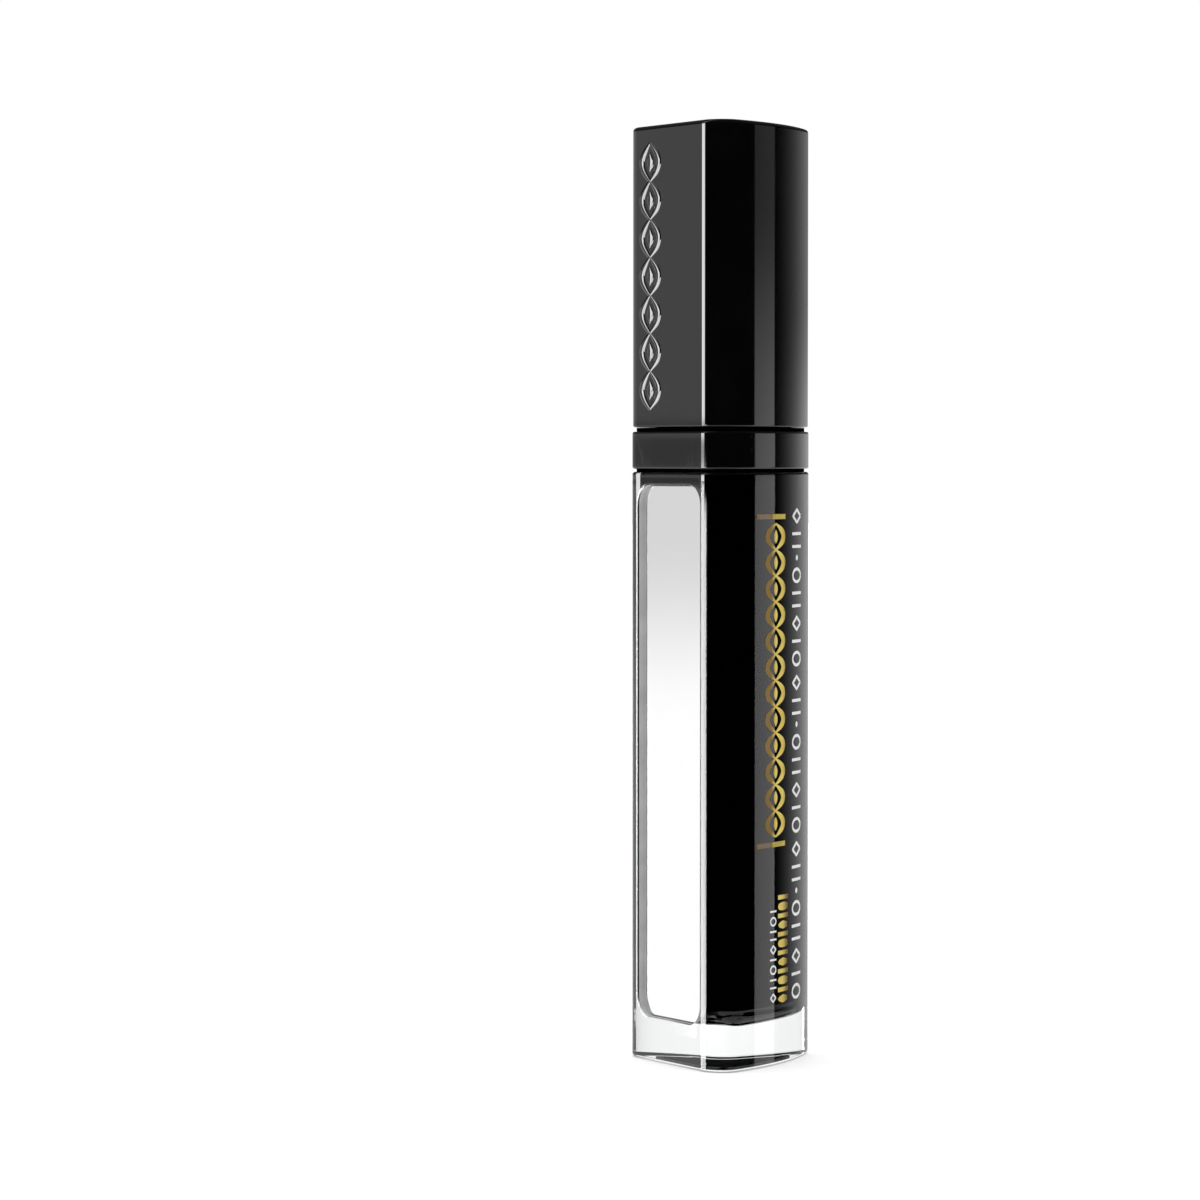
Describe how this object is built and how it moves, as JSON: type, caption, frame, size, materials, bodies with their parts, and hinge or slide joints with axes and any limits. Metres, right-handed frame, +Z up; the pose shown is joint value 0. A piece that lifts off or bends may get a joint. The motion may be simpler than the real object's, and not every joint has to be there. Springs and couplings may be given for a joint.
{
  "type": "mascara tube",
  "caption": "Closed mascara tube of rounded-triangle section: clear heavy-wall bottle with a mirror, black inner vial, collar and screw cap that carries the stem and moulded brush.",
  "frame": {"origin": "on the stem's axis at the underside of the bottle, in the middle of the base label", "axes": "+Z up along the tube, -Y is the outward normal of the flat mirror side, +Y points to the ridge between the two curved sides"},
  "size_m": [0.0232, 0.0232, 0.13],
  "materials": {
    "clear_plastic": "polished clear heavy-wall plastic",
    "black_gloss": "polished black moulded plastic",
    "black_satin": "plain black moulded plastic",
    "bristle_rubber": "soft moulded elastomer",
    "soft_wiper": "natural soft polyethylene",
    "mirror": "silvered mirror pane",
    "foam_pad": "double-sided adhesive pad",
    "label": "dark printed label",
    "cream": "thick black cream"
  },
  "bodies": {
    "bottle": {"outer_bottle": "clear_plastic", "inner_vial": "black_gloss", "shoulder_collar": "black_gloss", "wiper": "soft_wiper", "mirror_pane": "mirror", "mirror_adhesive": "foam_pad", "base_label": "label", "mascara_cream": "cream"},
    "wand": {"stem": "black_gloss", "brush_core": "black_satin", "brush_bristles": "bristle_rubber"},
    "cap": {"cap_shell": "black_gloss", "inner_cap": "black_satin"}
  },
  "joints": [
    {"name": "lift_out", "type": "slide", "parent": "bottle", "child": "wand", "axis": [0, 0, 1], "range_m": [0, 0.1], "deforming": ["brush_bristles"]},
    {"name": "cap_turn", "type": "hinge", "parent": "wand", "child": "cap", "pos_m": [0, 0, 0.0882], "axis": [0, 0, 1], "range_deg": [0, 450]}
  ]
}
